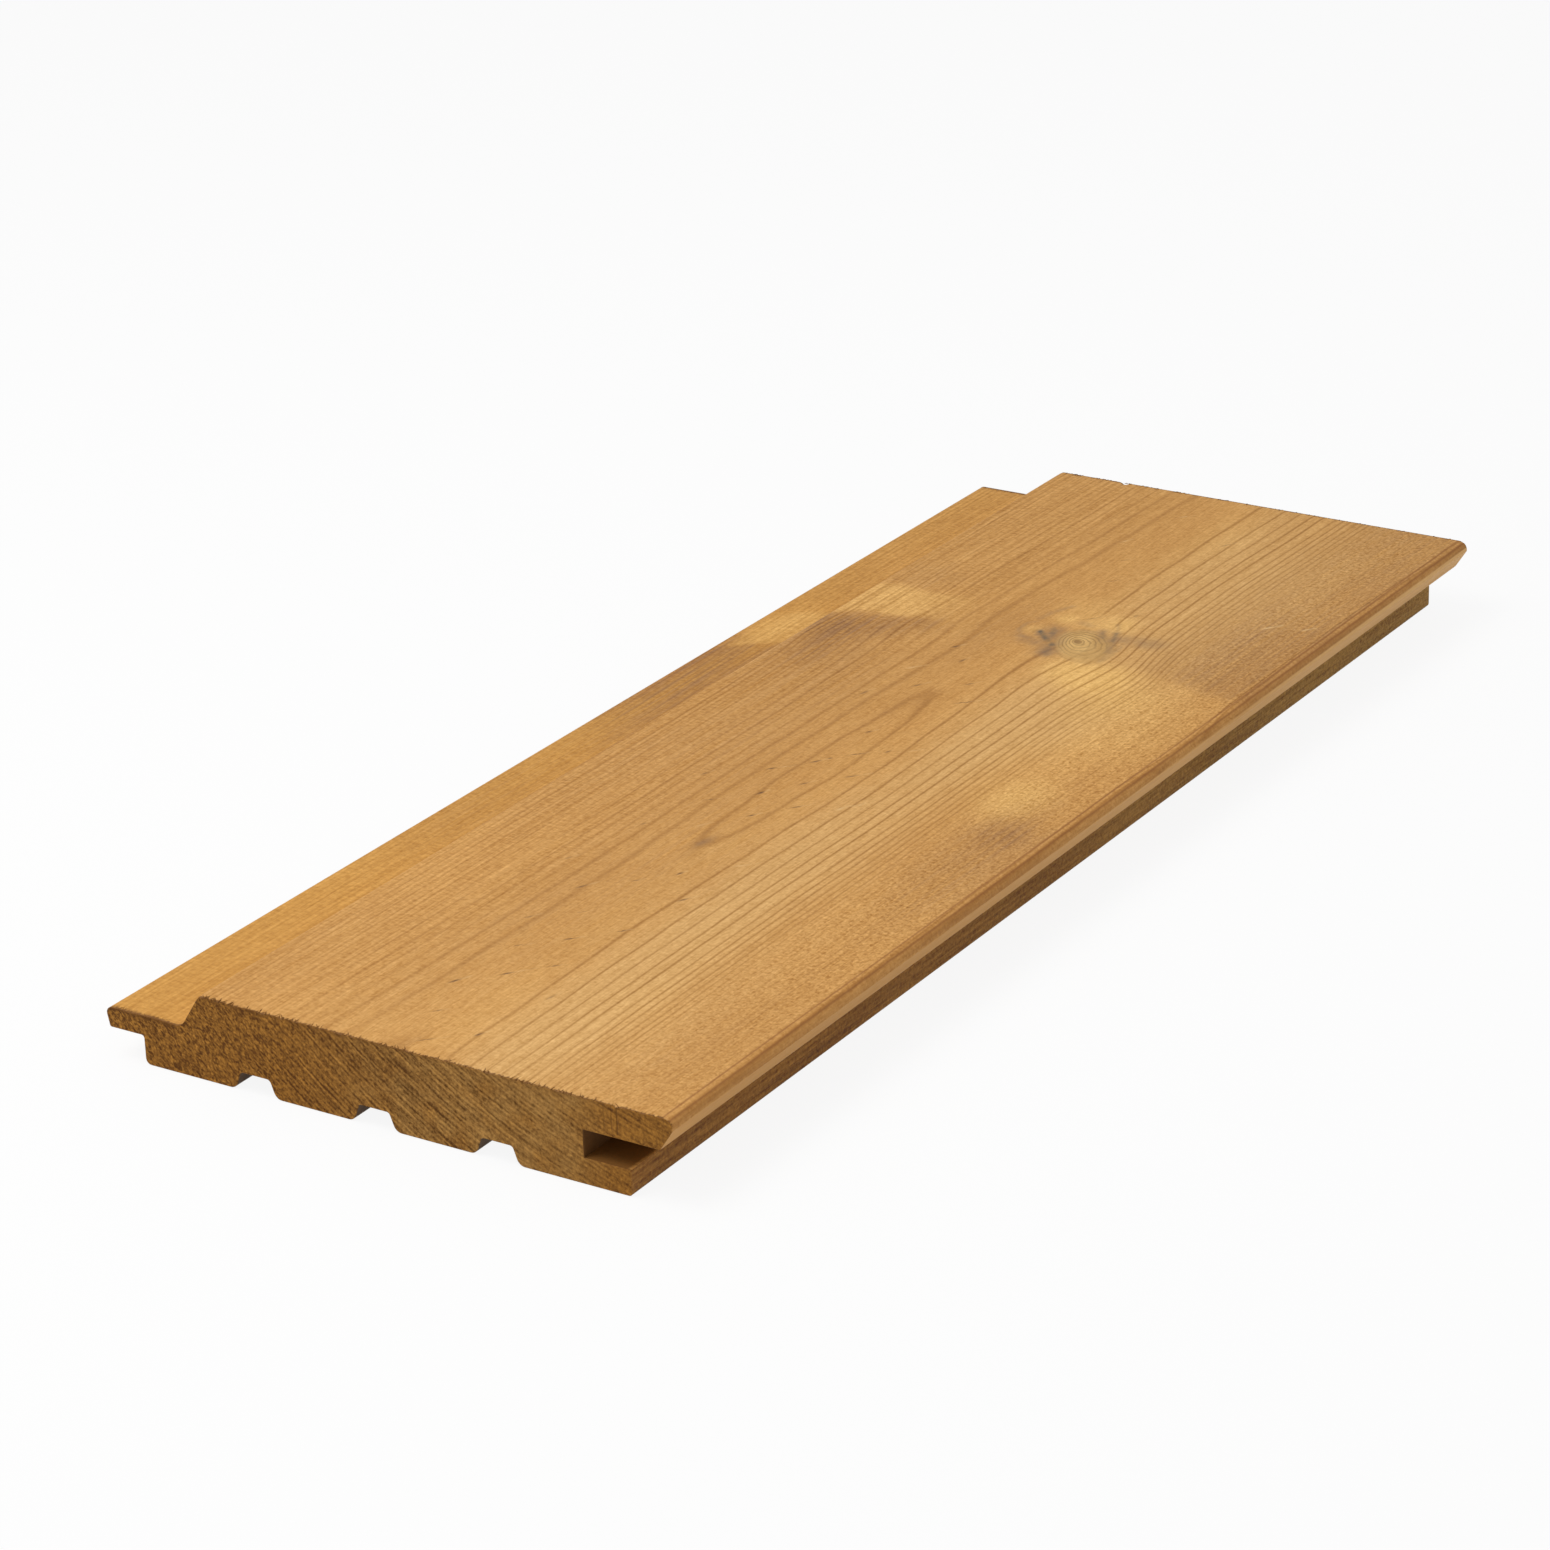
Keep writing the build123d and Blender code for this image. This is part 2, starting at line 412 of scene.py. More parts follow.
def knot_place(across, along):
    """Place from the knot's heart, the long way of its ellipse and the short way, in half sizes."""
    x, y = across - KNOT_ACROSS, along - KNOT_ALONG
    c, s = cos(radians(KNOT_TURN)), sin(radians(KNOT_TURN))
    return (s * x - c * y) / KNOT_HALF_LONG, (c * x + s * y) / KNOT_HALF_SHORT


def relief(across, along, up):
    """Depth of the planed surface below its true section, in millimetres."""
    cutter = np.sin(2 * pi * along / CUTTER_PITCH + 0.6 * np.sin(across)) + 1
    depth = 0.012 * cutter * np.exp(-((across - 4) / 9) ** 2)
    long, short = knot_place(across, along)
    rim = np.hypot(long - KNOT_SHIFT[0], short - KNOT_SHIFT[1])
    depth = depth + 0.06 * np.exp(-(((rim - 1.02) / 0.12) ** 2))
    from_end = np.minimum(along, LENGTH - along)
    depth = depth + 0.11 * np.exp(-(from_end / 1.3) ** 2)
    for place, size in END_NICKS:
        beside, inwards = (across - place) / 0.5, along / (1.4 * size)
        depth = depth + 0.35 * size * np.exp(-beside ** 2 - inwards ** 2)
    beside, inwards = (across - FAR_CHIP_ACROSS) / 0.8, (LENGTH - along) / 1.1
    depth = depth + 0.8 * np.exp(-beside ** 2 - inwards ** 2)
    return depth * (up > THICKNESS - 0.5)


def stations():
    """Places along the board where its section is repeated."""
    ends = [0, ARRIS, 0.4, 0.8, 1.3]
    dense = list(np.arange(DENSE_FROM, DENSE_TO, 0.8))
    plain = np.arange(2.4, LENGTH - 2, 1.9)
    plain = [a for a in plain if not DENSE_FROM - 1 < a < DENSE_TO + 0.5]
    return np.array(ends + sorted(plain + dense) + [LENGTH - a for a in reversed(ends)])


# Figure of the wood, worked out at each point of the mesh

def growth(across, along, up):
    """Ring number, darkness of the nearest ring, and how many of its widths fill one ring."""
    right = curve_through(along, CENTRE_ALONG, CENTRE_RIGHT)
    left = curve_through(along, CENTRE_ALONG, CENTRE_LEFT)
    side = across - left - (right - left) * smoothstep(43, 54, across)
    push = [np.where(side > 0, a, b) for a, b in zip(PUSH_RIGHT, PUSH_LEFT)]
    off = np.abs(side)
    for _ in range(3):
        away = np.minimum(off / 10, 1) * push[0] * np.exp(-((off - 30) / push[4]) ** 2)
        off = np.abs(side) - away * np.exp(-((along - push[1] + push[2] * off) / push[3]) ** 2)
    depth = curve_through(along, DEPTH_ALONG, PITH_DEPTH) + up - THICKNESS
    waver = 0.05 * np.sin(along / 11 + across / 7) + 0.04 * np.sin(along / 4.7 - across / 3.1)
    radius = np.hypot(off, depth) + waver
    share = smoothstep(-4, 4, side)
    shown = 1 - patches(across, along, RING_GAPS)
    read = []
    for table in (LEFT_RINGS, RIGHT_RINGS):
        radii, dark, width = (np.array(column) for column in zip(*table))
        numbers = np.arange(len(radii))
        number = curve_through(radius, radii, numbers)
        rows = (np.gradient(radii), width, dark)
        gap, width, dark = (np.interp(number, numbers, row) for row in rows)
        read.append((number, dark * shown, gap / width))
    return np.column_stack([a + (b - a) * share for a, b in zip(*read)])


def light_wedge(across, along):
    """The pale streak that crosses the tongue and runs into the face, with firm edges."""
    wobble = 0.6 * np.sin(across / 3)
    on_tongue = across < 0
    bowed = 5.2 * (1 - np.exp(-np.maximum(across, 0) / 5)) + 0.1 * across
    start = np.where(on_tongue, 246.4 + 0.717 * across, 243.8 + bowed)
    finish = 268 + np.where(on_tongue, 0.55 * across, 0)
    past_start = smoothstep(-1.8, 2.6, along - start - wobble)
    before_finish = smoothstep(-2.4, 2.8, finish - along + wobble)
    fading = smoothstep(-30, -14, across) * smoothstep(36, 14, across)
    return past_start * before_finish * fading


def stains(across, along):
    """Shares of pale, honey and smoky wood."""
    wedge = light_wedge(across, along)
    on_tongue = smoothstep(-6, -10, across)
    before_wedge = smoothstep(148, 198, along) * smoothstep(244, 234, along) * on_tongue
    past_edge = along - 247 + 0.28 * (across - 75)
    brown = smoothstep(-2, 6, past_edge) * smoothstep(74, 102, across)
    past_knot = smoothstep(-2, 5, past_edge) * smoothstep(66, 78, across)
    pale = patches(across, along, PALE_PATCHES)
    honey = patches(across, along, HONEY_PATCHES) * (1 - 0.9 * past_knot)
    honey += (0.42 + 0.04 * on_tongue) * wedge
    smoky = (patches(across, along, SMOKY_PATCHES) + 0.47 * before_wedge) * (1 - wedge)
    smoky += brown * (0.40 - 0.14 * smoothstep(275, 310, along))
    return np.column_stack([pale, honey, smoky])


def knot_stains(across, along):
    """The place from the knot's heart, in half sizes, and the stains round the knot."""
    dark = strokes(across, along, KNOT_STROKES)
    long, short = knot_place(across, along)
    far = np.maximum(1, np.hypot(long, short) / 3)
    return np.column_stack([long / far, short / far, dark])


def resin_marks(across, along, on_face, random):
    """Place within the nearest resin mark, in its half sizes, and its strength."""
    found = np.zeros((len(across), 3))
    found[:, :2] = MARK_AWAY
    nearest = np.full(len(across), np.inf)
    for place, beside, strength in RESIN_MARKS:
        size = random.uniform(0.75, 1.25)
        turn = random.uniform(0.1, 0.95)
        x, y = across - beside, along - place
        a = (x - turn * y) / (MARK_HALF_ACROSS * (0.8 + 0.2 * size))
        b = y / (MARK_HALF_ALONG * size)
        distance = np.hypot(a, b)
        closer = distance < nearest
        within = (distance < MARK_REACH)[:, None]
        here = np.column_stack([a, b, np.full_like(a, strength)])
        away = np.column_stack([np.copysign(MARK_AWAY, a), np.copysign(MARK_AWAY, b), 0 * a])
        found[closer] = np.where(within, here, away)[closer]
        nearest = np.where(closer, distance, nearest)
    found[:, 2] *= on_face
    return found


# Board mesh

def inside(places, polygon, margin):
    """Which places lie inside a polygon and at least margin from its edges."""
    start, end = polygon, np.roll(polygon, -1, 0)
    edge = end - start
    x, z = places[:, None, 0], places[:, None, 1]
    crosses = (start[None, :, 1] > z) != (end[None, :, 1] > z)
    rise = np.where(edge[:, 1] == 0, 1e-12, edge[:, 1])
    hit = start[None, :, 0] + (z - start[None, :, 1]) * (edge[:, 0] / rise)[None]
    within = ((crosses & (x < hit)).sum(1) % 2) == 1
    share = ((places[:, None] - start[None]) * edge[None]).sum(2) / (edge ** 2).sum(1)[None]
    nearest = start[None] + np.clip(share, 0, 1)[..., None] * edge[None]
    distance = np.linalg.norm(places[:, None] - nearest, axis=2).min(1)
    return within & (distance > margin)


def saw_relief(across, up, random):
    """Depth of the saw's curved marks in a sawn end, in millimetres."""
    radius = np.hypot(across - SAW_ACROSS, up - SAW_UP)
    return 0.05 + 0.03 * np.sin(2 * pi * radius / SAW_PITCH) + 0.03 * random.random(len(across))


def cap(ring, step):
    """Fills one sawn end: its inner points, and triangles that count the ring's points first."""
    flat = ring[:, [0, 2]]
    low, high = flat.min(0), flat.max(0)
    inner = []
    for row, z in enumerate(np.arange(low[1] + step / 2, high[1], step * 0.87)):
        for x in np.arange(low[0] + (row % 2) * step / 2, high[0], step):
            inner.append((x, z))
    inner = np.array(inner)
    inner = inner[inside(inner, flat, step * 0.45)]
    places = [Vector(p) for p in flat] + [Vector(p) for p in inner]
    found = delaunay_2d_cdt(places, [], [list(range(len(flat)))], 1, 1e-9)
    number = [origin[0] for origin in found[3]]
    return inner, [[number[v] for v in face] for face in found[2]]


def board_places(random):
    """Places and faces of the board as one closed mesh, in millimetres."""
    points = outline()
    normals = outward(points)
    along = stations()
    count = len(points)
    rings = []
    for a in along:
        depth = relief(points[:, 0] - FACE_EDGE, np.full(count, a), points[:, 1])
        arris = max(0.0, ARRIS - min(a, LENGTH - a))
        depth = depth + arris * (0.7 + 0.6 * random.random(count))
        moved = points - normals * depth[:, None]
        rings.append(np.column_stack([moved[:, 0], np.full(count, NEAR_END + a), moved[:, 1]]))
    faces = []
    for k in range(len(along) - 1):
        for j in range(count):
            n = (j + 1) % count
            faces.append((k * count + j, k * count + n, (k + 1) * count + n, (k + 1) * count + j))
    places = [np.concatenate(rings)]
    total = len(along) * count
    for ring, first, inwards in ((rings[0], 0, 1), (rings[-1], total - count, -1)):
        inner, triangles = cap(ring, CAP_STEP)
        depth = ring[0, 1] + inwards * saw_relief(inner[:, 0] - FACE_EDGE, inner[:, 1], random)
        places.append(np.column_stack([inner[:, 0], depth, inner[:, 1]]))
        for face in triangles:
            faces.append([first + v if v < count else total + v - count for v in face])
        total += len(inner)
    return np.concatenate(places), faces


def new_mesh(name, places, faces):
    """A mesh in metres, from places in millimetres."""
    mesh = bpy.data.meshes.new(name)
    mesh.from_pydata((places * MM).tolist(), [], faces)
    return mesh


def add_object(name, data):
    added = bpy.data.objects.new(name, data)
    bpy.context.scene.collection.objects.link(added)
    return added


def make_board():
    """The board's mesh, with the figure of its wood as attributes."""
    random = np.random.default_rng(BOARD_SEED)
    places, faces = board_places(random)
    mesh = new_mesh("planed_board", places, faces)
    across, along, up = places[:, 0] - FACE_EDGE, places[:, 1] - NEAR_END, places[:, 2]
    figure = {
        "growth": growth(across, along, up),
        "stain": stains(across, along),
        "knot": knot_stains(across, along),
        "mark": resin_marks(across, along, up > THICKNESS - 0.5, random),
    }
    for name, values in figure.items():
        stored = mesh.attributes.new(name, "FLOAT_VECTOR", "POINT")
        stored.data.foreach_set("vector", values.astype(np.float32).ravel())
    bm = bmesh.new()
    bm.from_mesh(mesh)
    bmesh.ops.recalc_face_normals(bm, faces=bm.faces)
    bm.to_mesh(mesh)
    bm.free()
    mesh.shade_smooth()
    mesh.set_sharp_from_angle(angle=radians(SHARP_ANGLE))
    return add_object("planed_board", mesh)


# Shader arithmetic

# The node tree that the helpers below add to
TREE = None


def start_material(name):
    """A new material and its shader. The helpers below add to its node tree from now on."""
    global TREE
    material = bpy.data.materials.new(name)
    material.use_nodes = True
    TREE = material.node_tree
    return material, TREE.nodes["Principled BSDF"]


class Value:
    """A number that shader nodes work out at each point, so that a pattern reads as a sum."""

    def __init__(self, socket):
        self.socket = socket

    def __add__(self, other):
        return maths("ADD", self, other)

    def __radd__(self, other):
        return maths("ADD", other, self)

    def __sub__(self, other):
        return maths("SUBTRACT", self, other)

    def __rsub__(self, other):
        return maths("SUBTRACT", other, self)

    def __mul__(self, other):
        return maths("MULTIPLY", self, other)

    def __rmul__(self, other):
        return maths("MULTIPLY", other, self)

    def __truediv__(self, other):
        return maths("DIVIDE", self, other)


def new_node(kind):
    return TREE.nodes.new("ShaderNode" + kind)


def feed(socket, value):
    """Links a socket to a value that nodes work out, or sets it to a plain one."""
    if isinstance(value, Value):
        TREE.links.new(value.socket, socket)
    elif isinstance(value, bpy.types.NodeSocket):
        TREE.links.new(value, socket)
    else:
        socket.default_value = (*value, 1) if isinstance(value, tuple) else value


def maths(operation, *inputs):
    node = new_node("Math")
    node.operation = operation
    for socket, value in zip(node.inputs, inputs):
        feed(socket, value)
    return Value(node.outputs[0])


def smooth(low, high, value):
    """0 at low, 1 at high, and a smooth step between. Low may be the larger."""
    node = new_node("MapRange")
    node.interpolation_type = "SMOOTHSTEP"
    feed(node.inputs["Value"], value)
    node.inputs["From Min"].default_value = low
    node.inputs["From Max"].default_value = high
    return Value(node.outputs["Result"])


def hill(value, centre, width):
    """A smooth rise to 1 where value is centre."""
    off = (value - centre) / width
    return maths("EXPONENT", off * off * -1.0)


def parts(socket):
    """The three parts of a vector."""
    split = new_node("SeparateXYZ")
    TREE.links.new(socket, split.inputs[0])
    return [Value(part) for part in split.outputs]


def attribute(name):
    """The three parts of a vector stored on the mesh."""
    node = new_node("Attribute")
    node.attribute_name = name
    return parts(node.outputs["Vector"])


def noise(x, y, z, detail=2.0, roughness=0.5, distortion=0.0):
    """Noise from about -1 to 1, with features about one unit across."""
    vector = new_node("CombineXYZ")
    for socket, value in zip(vector.inputs, (x, y, z)):
        feed(socket, value)
    node = new_node("TexNoise")
    node.inputs["Scale"].default_value = 1.0
    node.inputs["Detail"].default_value = detail
    node.inputs["Roughness"].default_value = roughness
    node.inputs["Distortion"].default_value = distortion
    TREE.links.new(vector.outputs[0], node.inputs["Vector"])
    return Value(node.outputs[0]) * 2.0 - 1.0


def mix(first, second, share, blend="MIX"):
    """A colour between two others, or one multiplied by a share of the other."""
    node = new_node("Mix")
    node.data_type = "RGBA"
    node.blend_type = blend
    feed(node.inputs["Factor"], share)
    for name, colour in (("A", first), ("B", second)):
        feed(next(s for s in node.inputs if s.name == name and s.type == "RGBA"), colour)
    return next(s for s in node.outputs if s.type == "RGBA")


def scaled(colour, gain):
    """A colour made lighter and paler, or darker and deeper, by a number near 1."""
    steps = new_node("VectorMath")
    steps.operation = "MULTIPLY_ADD"
    feed(steps.inputs[0], gain - 1.0)
    steps.inputs[1].default_value = GAIN_PARTS
    steps.inputs[2].default_value = (1, 1, 1)
    positive = new_node("VectorMath")
    positive.operation = "MAXIMUM"
    feed(positive.inputs[0], steps.outputs[0])
    node = new_node("VectorMath")
    node.operation = "MULTIPLY"
    if isinstance(colour, tuple):
        node.inputs[0].default_value = colour
    else:
        feed(node.inputs[0], colour)
    feed(node.inputs[1], positive.outputs[0])
    return node.outputs[0]


# Wood material, with linear colours

GOLD = (0.600, 0.304, 0.084)
PALE = (0.672, 0.382, 0.132)
HONEY = (0.800, 0.472, 0.148)
SMOKY = (0.318, 0.153, 0.056)
TONGUE_GOLD = (0.600, 0.295, 0.062)
LATEWOOD = (0.61, 0.51, 0.34)
KNOT_WOOD = (0.545, 0.320, 0.104)
KNOT_LIGHT = (0.700, 0.440, 0.155)
KNOT_PITH = (0.29, 0.165, 0.055)
STAIN = (0.250, 0.148, 0.082)
SLATE = (0.135, 0.105, 0.070)
MARK_DARK = (0.150, 0.072, 0.028)
# Pale resin, and the painted highlight beside each resin mark
MARK_PALE_AND_HIGHLIGHT = (0.80, 0.53, 0.24)
# Painted shade: the lip side under the overhanging nose is darker than its wood, deeper in streaks
# and lighter towards the far end
LIP_SIDE_SHADE = (0.40, 0.178, 0.035)
LIP_SIDE_DEEP_SHADE = (0.24, 0.098, 0.018)
LIP_SIDE_FAR_SHADE = (0.44, 0.242, 0.056)
# Painted shade inside the slot, which the light hardly reaches
SLOT_BACK_SHADE = (0.120, 0.048, 0.009)
SLOT_SHADE = (0.215, 0.092, 0.019)
# The bevel faces the floor: its paler colour is partly its own fresher wood and partly painted bounce
# light, and the far colour is a painted sheen
BEVEL_WOOD_AND_BOUNCE = (0.64, 0.330, 0.092)
BEVEL_FAR_SHEEN = (0.81, 0.470, 0.175)
NOSE_WOOD = (0.56, 0.250, 0.062)
NOSE_LINE = (0.30, 0.115, 0.028)
# The back is darker brown wood with painted shade over it, and its grooves are painted shade, nearly
# black
BACK_WOOD_AND_SHADE = (0.21, 0.095, 0.026)
GROOVE_SHADE = (0.045, 0.019, 0.006)
END_LIGHT = (0.53, 0.235, 0.035)
END_DARK = (0.105, 0.034, 0.001)
END_OLIVE = (1.0, 1.17, 2.0)
FRINGE = (0.17, 0.068, 0.013)

# How much red, green and blue change where the wood is lighter or darker: dark wood is deeper
GAIN_PARTS = (1.0, 1.3, 1.9)

Grain = namedtuple("Grain", "fibre thread streak worm ripple cloud blotch")


def wood_grain(across, along, up):
    """The noises that the wood is drawn with, each with its size across and along in millimetres."""
    return Grain(
        fibre=noise(across / 0.36, along / 5.0, up / 0.36, 2.0, 0.6),
        thread=noise(across / 0.8, along / 45.0, up / 0.8, 1.0),
        streak=noise(across / 1.4, along / 70.0, up / 1.4, 2.0, 0.6),
        worm=noise(across / 0.76, along / 0.9, up / 0.76, 1.0, 0.5, 0.7),
        ripple=noise(across / 1.9, along / 0.85, up / 1.9, 1.0),
        cloud=noise(across / 12.0, along / 30.0, up / 12.0, 2.0),
        blotch=noise(across / 2.6, along / 4.5, up / 2.6, 2.0, 0.6),
    )


def face_colour(across, along, grain):
    """Colour and height of the planed wood, and how dark the latewood is."""
    fibre, thread, streak, worm, ripple, cloud, blotch = grain
    number, dark, widths = attribute("growth")
    pale, honey, smoky = attribute("stain")
    on_tongue = smooth(-5.0, -8.0, across)
    on_left = smooth(38.0, 20.0, across)
    on_right = smooth(60.0, 64.0, across)

    # Dark lines of latewood, which are faint on the left and clear beside the knot
    warped = number + 0.05 * cloud + 0.03 * streak + 0.02 * fibre
    ratio = maths("PINGPONG", warped, 0.5) * widths
    line = maths("EXPONENT", ratio * ratio * -1.0) * dark * (1.0 + 0.5 * blotch + 0.6 * fibre)
    line = line * (1.0 - 0.38 * on_left) * (0.7 + 0.3 * smooth(0.0, 45.0, along))
    line = line * (1.0 - (0.13 - 0.13 * hill(along, 252.0, 22.0)) * on_right)
    line = line * (1.0 + 1.9 * smoky * on_left + 1.1 * on_tongue * smooth(150.0, 220.0, along))

    # Broad colours
    below_face = smooth(-3.0, -6.0, across)
    tongue_arris = smooth(-20.0, -23.5, across) * hill(along, 215.0, 24.0)
    colour = mix(GOLD, PALE, pale + 0.25 * blotch)
    colour = mix(colour, TONGUE_GOLD, below_face * (1.0 - 0.45 * smooth(230.0, 320.0, along)))
    colour = mix(colour, NOSE_WOOD, tongue_arris * 0.8)
    colour = mix(colour, HONEY, honey + 0.15 * cloud)
    colour = mix(colour, SMOKY, smoky * (1.0 + 0.45 * blotch + 0.8 * streak + 1.5 * thread))

    # Fine light and dark, coarse towards the nose and calm near the sawn end
    coarse = smooth(84.0, 98.0, across) * (0.55 + 0.45 * smooth(20.0, 90.0, along))
    near_tongue = on_tongue * smooth(90.0, 40.0, along)
    lively = on_left * (1.0 - 0.45 * on_tongue) * (0.72 + 0.28 * smooth(20.0, 110.0, along))
    gain = 1.0 + 0.05 * cloud + 0.08 * streak + 0.05 * blotch
    gain = gain + (0.26 - 0.07 * near_tongue) * fibre + (0.10 + 0.20 * lively) * thread
    gain = gain + (0.21 + 0.28 * coarse - 0.05 * near_tongue) * worm + (0.13 + 0.13 * lively) * ripple
    gain = gain + (0.5 - maths("FRACT", warped)) * 0.05 * on_right
    colour = mix(scaled(colour, gain), LATEWOOD, line, "MULTIPLY")
    height = 0.03 * line + 0.014 * fibre + (0.02 + 0.03 * coarse) * worm + 0.02 * on_left * ripple
    return colour, height, line


def knot_colour(colour, up, grain):
    """The planed colour with the knot and its stains over it."""
    fibre, blotch = grain.fibre, grain.blotch
    long, short, dark = attribute("knot")
    # Each ring of the knot is the same ellipse, drawn smaller round a middle nearer the heart
    shift_long, shift_short = KNOT_SHIFT
    towards = long * shift_long + short * shift_short
    left_over = 1 - shift_long ** 2 - shift_short ** 2
    squared = towards * towards + left_over * (long * long + short * short)
    ring = (maths("SQRT", squared) - towards) / left_over + 0.05 * blotch
    on_face = smooth(THICKNESS - 2, THICKNESS - 0.5, up)
    body = smooth(1.08, 0.78, ring) * on_face
    wave = maths("SINE", ring * KNOT_WAVE + 1.5 * blotch)
    wave = wave * smooth(1.0, 0.7, ring) * (0.7 - 0.5 * long)
    light = 0.30 + 0.9 * smooth(0.7, 0.2, ring) - 0.5 * short - 0.2 * long + 0.5 * blotch
    pith = smooth(0.17, 0.10, ring)
    wood = mix(KNOT_WOOD, KNOT_LIGHT, light)
    wood = mix(wood, KNOT_PITH, smooth(-0.1, 0.8, wave) * 0.80 + pith * 0.9)
    wood = scaled(wood, 1.0 + 0.14 * fibre + 0.10 * grain.worm + 0.10 * blotch)
    rim = hill(ring, 1.0, 0.06) * on_face
    colour = mix(colour, wood, body * 0.80)
    colour = mix(colour, KNOT_PITH, rim * (0.22 + 0.3 * blotch))
    stain = mix(STAIN, SLATE, smooth(0.5, 0.75, dark))
    return mix(colour, stain, dark * on_face * (0.95 + 0.9 * blotch + 0.5 * fibre))


def mark_colour(colour):
    """The colour with the resin marks over it, each with a painted highlight beside it, and how dark
    each is.
    """
    beside, ahead, strength = attribute("mark")
    core = maths("EXPONENT", (beside * beside + ahead * ahead) * -1.3) * strength
    # A painted highlight trails each mark, a little ahead of it and to one side
    painted_highlight = hill(ahead, 1.9, 0.9) * hill(beside, 0.5, 0.8) * maths("ABSOLUTE", strength)
    light = maths("MAXIMUM", core * -1.0, 0.0)
    colour = mix(colour, MARK_DARK, maths("MAXIMUM", core, 0.0) * 0.95)
    return mix(colour, MARK_PALE_AND_HIGHLIGHT, light * 0.6 + painted_highlight * 0.34), core


def end_colour(across, along, up, line):
    """Colour and height of the sawn ends, with pores, rings and the curved marks of the saw."""
    saw_x, saw_z = across - SAW_ACROSS, up - SAW_UP
    saw = maths("SQRT", saw_x * saw_x + saw_z * saw_z)
    fine = noise(saw / 0.75, across / 9.0, along / 30.0, 2.0, 0.65)
    broad = noise(saw / 1.9, across / 20.0, along / 30.0 + 4.0, 2.0)
    wave = maths("SINE", saw * (2 * pi / SAW_PITCH) + 3.5 * broad)
    sawn = (0.22 * wave + 1.1 * fine + 0.6 * broad) * (0.15 + 0.85 * smooth(4.0, 30.0, across))
    sawn = sawn * (1.0 - 0.3 * smooth(80.0, 94.0, across))
    pores = noise(across / 0.70, along / 5.0, up / 0.70, 3.0, 0.65)
    hairs = noise((across + up) / 0.65, along / 5.0, (across - up) / 1.9, 2.0, 0.6, 1.2)
    blotch = noise(across / 1.5, along / 5.0, up / 1.5, 2.0)
    patch = noise(across / 6.0, along / 5.0, up / 6.0, 1.0)
    fibrous = smooth(34.0, 12.0, across)
    lower_lip = smooth(86.0, 94.0, across) * smooth(7.0, 5.0, up)
    level = 0.33 + 0.08 * smooth(15.0, 45.0, across) + 0.12 * smooth(45.0, 85.0, across)
    level = level - 0.07 * smooth(90.0, 97.0, across) - 0.05 * lower_lip
    figure = (0.66 * sawn + 0.85 * pores + (0.45 + 0.95 * fibrous) * hairs + 0.40 * blotch
              + 0.16 * patch - 0.12 * line)
    shade = level + figure * (0.90 - 0.14 * smooth(62.0, 80.0, across))
    crack = (0.35 * hill(across, 98.9, 0.16) + 0.45 * hill(across, 100.7, 0.14)
             + 0.75 * hill(across + 0.15 * patch, 102.0, 0.18))
    crack = crack * smooth(SLOT_ROOF + 0.3, SLOT_ROOF + 1.7, up)
    colour = mix(END_DARK, END_LIGHT, shade)
    colour = mix(colour, END_DARK, crack)
    olive = smooth(18.0, 60.0, across) * smooth(102.0, 90.0, across) * (0.85 + 0.8 * patch)
    colour = mix(colour, END_OLIVE, olive, "MULTIPLY")
    arris = hill(up, THICKNESS, 0.55) * (0.55 + 0.35 * smooth(70.0, 40.0, across))
    arris = arris + 1.2 * hill(up, TONGUE_TOP, 0.6) * smooth(-6.0, -8.0, across)
    colour = mix(colour, END_DARK, arris * (0.6 + 0.6 * blotch))
    return colour, 0.06 * sawn + 0.10 * pores - 0.2 * crack


